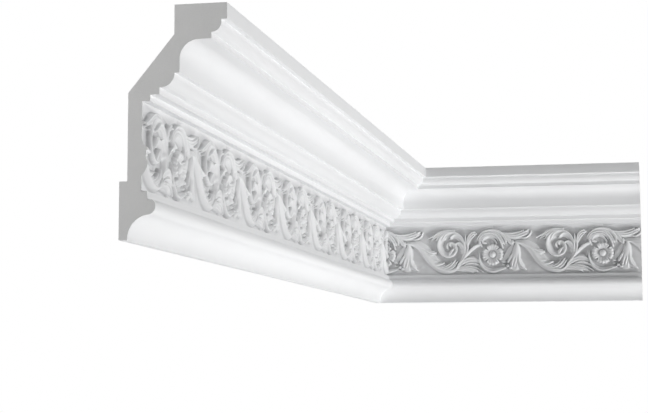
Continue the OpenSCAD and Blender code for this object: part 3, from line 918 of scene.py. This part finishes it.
def sawn_foam():
    """Bare foam where a length was sawn: fine open cells"""
    c = bpy.context.scene.cornice_finish
    material = bpy.data.materials.new("sawn_foam")
    t = emptied_tree(material)
    place = t.node("ShaderNodeTexCoord").outputs["Object"]
    cells = t.out(t.node("ShaderNodeTexVoronoi", Vector=place, Scale=1400.0))
    patch = t.out(t.node("ShaderNodeTexNoise", Vector=place, Scale=60.0, Detail=4.0))
    speck = (cells * 0.25 + (patch - 0.5) * 0.4).clamped()
    tone = t.node("ShaderNodeMix", {"data_type": "RGBA"}, Factor=speck, in_6=(*c.foam, 1),
                  in_7=(*(0.82 * channel for channel in c.foam), 1))
    bump = t.node("ShaderNodeBump", Height=cells + patch * 0.6, Strength=0.25, Distance=0.0004)
    surface = t.node("ShaderNodeBsdfPrincipled", Base_Color=tone.outputs[2], Roughness=patch * 0.1 + 0.8,
                     Normal=bump.outputs[0])
    t.node("ShaderNodeOutputMaterial", Surface=surface.outputs[0])
    return material


class CORNICE_OT_lengths(bpy.types.Operator):
    """Build the long and the short length, mitred at the room's corner"""
    bl_idname = "cornice.lengths"
    bl_label = "Mitred Lengths"

    def execute(self, context):
        s, f = context.scene.cornice_section, context.scene.cornice_frieze
        finishes = primed_foam(), sawn_foam()
        carving, height, hollow = carve(s, f)
        relief = closed_repeat(thinned_relief(carving, height, s, f), s, f.repeat)
        repeat = new_object("carved_repeat", relief)

        # Each end is a point on its cut and the cut's normal
        past = MARGIN / 2
        long_cut = [(-past, 0), (CUT_REACH, 0), (CUT_REACH, LONG_RUN - CUT_REACH), (-past, LONG_RUN + past)]
        short_cut = [(-past, -past), (CUT_REACH, CUT_REACH), (CUT_REACH, SHORT_RUN), (-past, SHORT_RUN)]
        square = Vector((0, 1, 0))
        long_ends = (((0, 0, 0), square), ((0, LONG_RUN, 0), Vector((1, 1, 0)).normalized()))
        short_ends = (((0, SHORT_RUN, 0), square), ((0, 0, 0), Vector((-1, 1, 0)).normalized()))
        to_left_wall = Matrix.Translation((0, -LONG_RUN, 0))
        to_back_wall = Matrix.Rotation(-math.pi / 2, 4, "Z")
        lengths = (
            ("long_length", long_cut, LONG_RUN, f.long_first, long_ends, to_left_wall),
            ("short_length", short_cut, SHORT_RUN, f.short_first, short_ends, to_back_wall),
        )
        for node, cut, run, first, ends, turn in lengths:
            piece = built_length(node, cut, run, first, ends, turn, (repeat, carving, hollow), finishes)
            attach(piece, "root")
            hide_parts(node)
        remove(repeat)
        return {"FINISHED"}


class CORNICE_OT_stage(bpy.types.Operator):
    """Set the floor, the lamps, the room's light and the camera"""
    bl_idname = "cornice.stage"
    bl_label = "Stage"

    def execute(self, context):
        stage = context.scene.cornice_stage
        build_floor(stage)
        build_lights()
        build_camera(stage)
        return {"FINISHED"}


def build_floor(stage):
    """A pale floor that is seen as near white"""
    corners = [(-FLOOR_HALF, -FLOOR_HALF), (FLOOR_HALF, -FLOOR_HALF), (FLOOR_HALF, FLOOR_HALF),
               (-FLOOR_HALF, FLOOR_HALF)]
    mesh = face_mesh("floor", corners, lambda x, y: (x, y, -stage.floor_drop))
    floor = new_object("floor", mesh)
    material = bpy.data.materials.new("pale_floor")
    t = emptied_tree(material)
    place = t.node("ShaderNodeTexCoord").outputs["Object"]
    mottle = t.out(t.node("ShaderNodeTexNoise", Vector=place, Scale=3.0, Detail=2.0))
    rough = mottle * 0.1 + 0.75
    lit = t.node("ShaderNodeBsdfPrincipled", Base_Color=(0.88, 0.88, 0.88, 1), Roughness=rough)
    pale = t.node("ShaderNodeBsdfPrincipled", Base_Color=(0.6, 0.6, 0.6, 1), Roughness=rough,
                  Emission_Color=(1, 1, 1, 1), Emission_Strength=0.8)
    both = t.node("ShaderNodeMixShader", in_0=seen_rays(t), in_1=lit.outputs[0], in_2=pale.outputs[0])
    t.node("ShaderNodeOutputMaterial", Surface=both.outputs[0])
    mesh.materials.append(material)


def build_lamp(name, place, target, side, power):
    """A square lamp that faces a point and isn't seen itself"""
    light = bpy.data.lights.new(name, "AREA")
    light.shape = "SQUARE"
    light.size = side
    light.energy = power
    holder = bpy.data.objects.new(name, light)
    holder.location = place
    holder.visible_camera = False
    holder.rotation_euler = (Vector(target) - Vector(place)).to_track_quat("-Z", "Y").to_euler()
    bpy.context.scene.collection.objects.link(holder)


def build_lights():
    """The lamps, and a room that gives a little light and is seen as white"""
    for lamp in LAMPS:
        build_lamp(*lamp)
    world = bpy.data.worlds.new("studio")
    bpy.context.scene.world = world
    t = emptied_tree(world)
    soft = t.node("ShaderNodeBackground", Color=(1, 1, 1, 1), Strength=ROOM_LIGHT)
    white = t.node("ShaderNodeBackground", Color=(1, 1, 1, 1), Strength=ROOM_SEEN)
    both = t.node("ShaderNodeMixShader", in_0=seen_rays(t), in_1=soft.outputs[0], in_2=white.outputs[0])
    t.node("ShaderNodeOutputWorld", Surface=both.outputs[0])


def build_camera(stage):
    """The camera, below the moulding and to its right"""
    data = bpy.data.cameras.new("camera")
    data.sensor_width = 36
    data.lens = stage.lens
    data.clip_start, data.clip_end = 0.05, 100
    camera = bpy.data.objects.new("camera", data)
    camera.location = CAMERA_PLACE
    camera.rotation_euler = [math.radians(angle) for angle in CAMERA_TURN]
    bpy.context.scene.collection.objects.link(camera)
    bpy.context.scene.camera = camera


class CORNICE_PT_panel(bpy.types.Panel):
    """Lists the cornice's operators and sizes"""
    bl_idname = "CORNICE_PT_panel"
    bl_label = "Carved Cornice"
    bl_space_type = "VIEW_3D"
    bl_region_type = "UI"
    bl_category = "Cornice"

    def draw(self, context):
        for operator in (CORNICE_OT_lengths, CORNICE_OT_stage):
            self.layout.operator(operator.bl_idname)
        for name in GROUPS:
            box = self.layout.box()
            group = getattr(context.scene, name)
            for prop in group.bl_rna.properties:
                if prop.identifier not in ("rna_type", "name"):
                    box.prop(group, prop.identifier)


GROUPS = {
    "cornice_section": SectionSizes,
    "cornice_frieze": FriezeSizes,
    "cornice_finish": FinishColours,
    "cornice_stage": StageSizes,
}
CLASSES = (*GROUPS.values(), CORNICE_OT_lengths, CORNICE_OT_stage, CORNICE_PT_panel)


def register():
    for cls in CLASSES:
        bpy.utils.register_class(cls)
    for name, group in GROUPS.items():
        setattr(bpy.types.Scene, name, PointerProperty(type=group))


def unregister():
    for name in GROUPS:
        delattr(bpy.types.Scene, name)
    for cls in reversed(CLASSES):
        bpy.utils.unregister_class(cls)


def main():
    register()
    bpy.context.scene.view_settings.view_transform = "Standard"
    bpy.ops.cornice.lengths()
    bpy.ops.cornice.stage()


if __name__ == "__main__":
    main()
